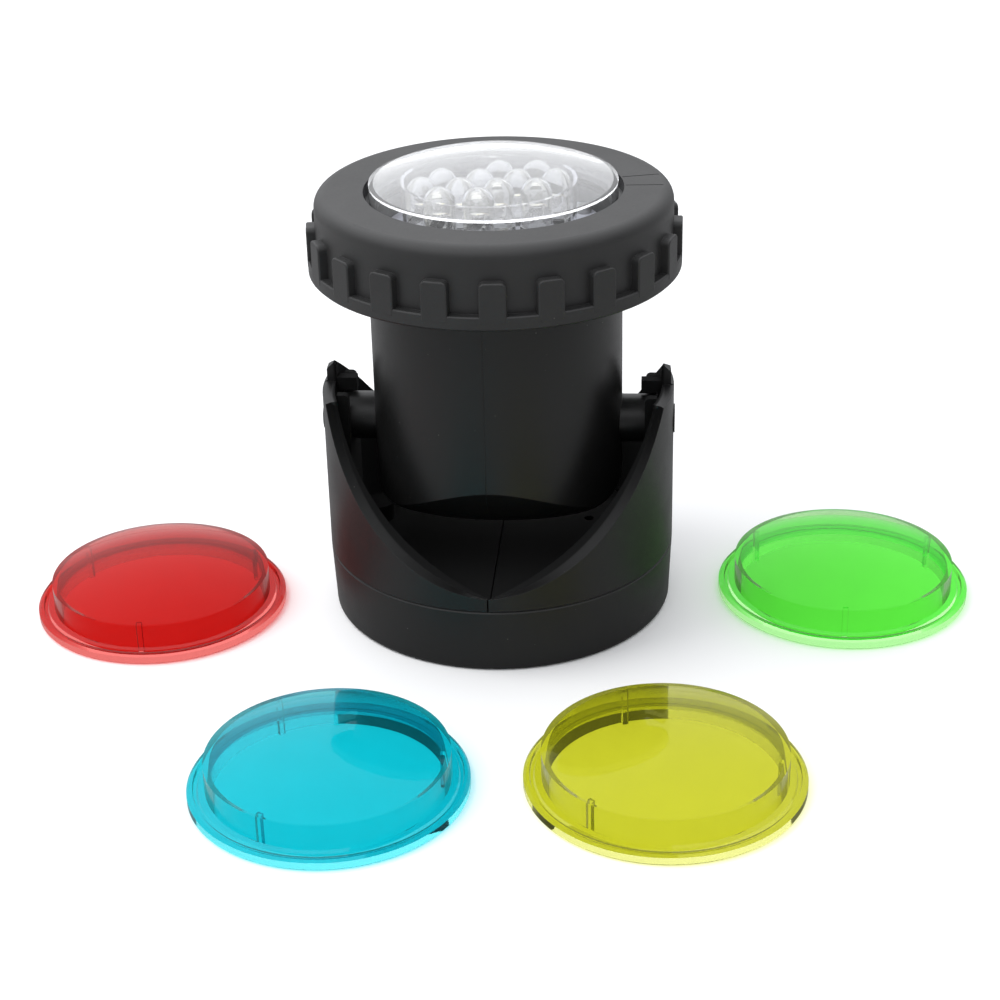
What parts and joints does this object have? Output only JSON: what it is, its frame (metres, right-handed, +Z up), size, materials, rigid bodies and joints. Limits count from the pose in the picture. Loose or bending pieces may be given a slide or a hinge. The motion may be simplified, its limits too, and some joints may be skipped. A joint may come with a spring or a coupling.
{
  "type": "underwater pond light",
  "caption": "Submersible pond lamp: upright LED head with a clear domed lens and locking collar, tilting in a round weighted base, with loose coloured filter lenses beside it.",
  "frame": {"origin": "on the ground under the lamp axis, at the middle of the base's underside", "axes": "+Z up along the lamp axis, +X along the tilt axis to the right seen from the front, -Y towards the front"},
  "size_m": [0.158, 0.1137, 0.0771],
  "materials": {
    "black_abs": "fine moulded grain",
    "black_gloss": "smooth semi-gloss",
    "collar_black": "satin, fine grain",
    "cast_weight": "rough casting",
    "steel": "plain screw steel",
    "potting": "cured resin",
    "rubber_black": "soft seal",
    "board": "solder-masked laminate",
    "led_epoxy": "water-clear epoxy",
    "tinned_lead": "tinned wire",
    "clear_sleeve": "clear moulded plastic",
    "resistor_body": "lacquered film resistor",
    "wire_insulation": "PVC",
    "clear_lens": "clear polished moulding",
    "red_lens": "transparent red moulding",
    "green_lens": "transparent green moulding",
    "blue_lens": "transparent blue moulding",
    "amber_lens": "transparent amber moulding"
  },
  "bodies": {
    "base": {"base_ring": "black_abs", "ballast_disc": "cast_weight", "ring_cover": "black_abs", "base_shell_left": "black_abs", "base_shell_right": "black_abs", "base_screws": "steel", "pivot_block_left": "black_abs", "pivot_block_right": "black_abs"},
    "head": {"lamp_housing": "black_gloss", "potting_block": "potting", "lens_gasket": "rubber_black", "led_board": "board", "led_lamps": "led_epoxy", "led_pins": "tinned_lead", "board_screws": "steel", "led_sleeve": "clear_sleeve", "resistors": "resistor_body", "board_wires": "wire_insulation", "cable_gland": "black_gloss", "gland_grommet": "rubber_black", "gland_nut": "black_gloss"},
    "lens": {"clear_lens": "clear_lens"},
    "collar": {"locking_collar": "collar_black"},
    "red": {"filter_red": "red_lens"},
    "green": {"filter_green": "green_lens"},
    "blue": {"filter_blue": "blue_lens"},
    "amber": {"filter_amber": "amber_lens"}
  },
  "joints": [
    {"name": "head_tilt", "type": "hinge", "parent": "base", "child": "head", "pos_m": [0, 0, 0.0322], "axis": [1, 0, 0], "range_deg": [-60, 80]},
    {"name": "lens_lift", "type": "slide", "parent": "head", "child": "lens", "axis": [0, 0, 1], "range_m": [0, 0.009]},
    {"name": "collar_turn", "type": "hinge", "parent": "lens", "child": "collar", "pos_m": [0, 0, 0.0657], "axis": [0, 0, 1], "range_deg": [0, 1080]},
    {"name": "red_lift", "type": "slide", "parent": "base", "child": "red", "axis": [0, 0, 1], "range_m": [0, 0.005]},
    {"name": "green_lift", "type": "slide", "parent": "base", "child": "green", "axis": [0, 0, 1], "range_m": [0, 0.005]},
    {"name": "blue_lift", "type": "slide", "parent": "base", "child": "blue", "axis": [0, 0, 1], "range_m": [0, 0.005]},
    {"name": "amber_lift", "type": "slide", "parent": "base", "child": "amber", "axis": [0, 0, 1], "range_m": [0, 0.005]}
  ],
  "couplings": [
    {"joint": "collar_turn", "follows": "lens_lift", "rad_per_m": 2094.4}
  ]
}
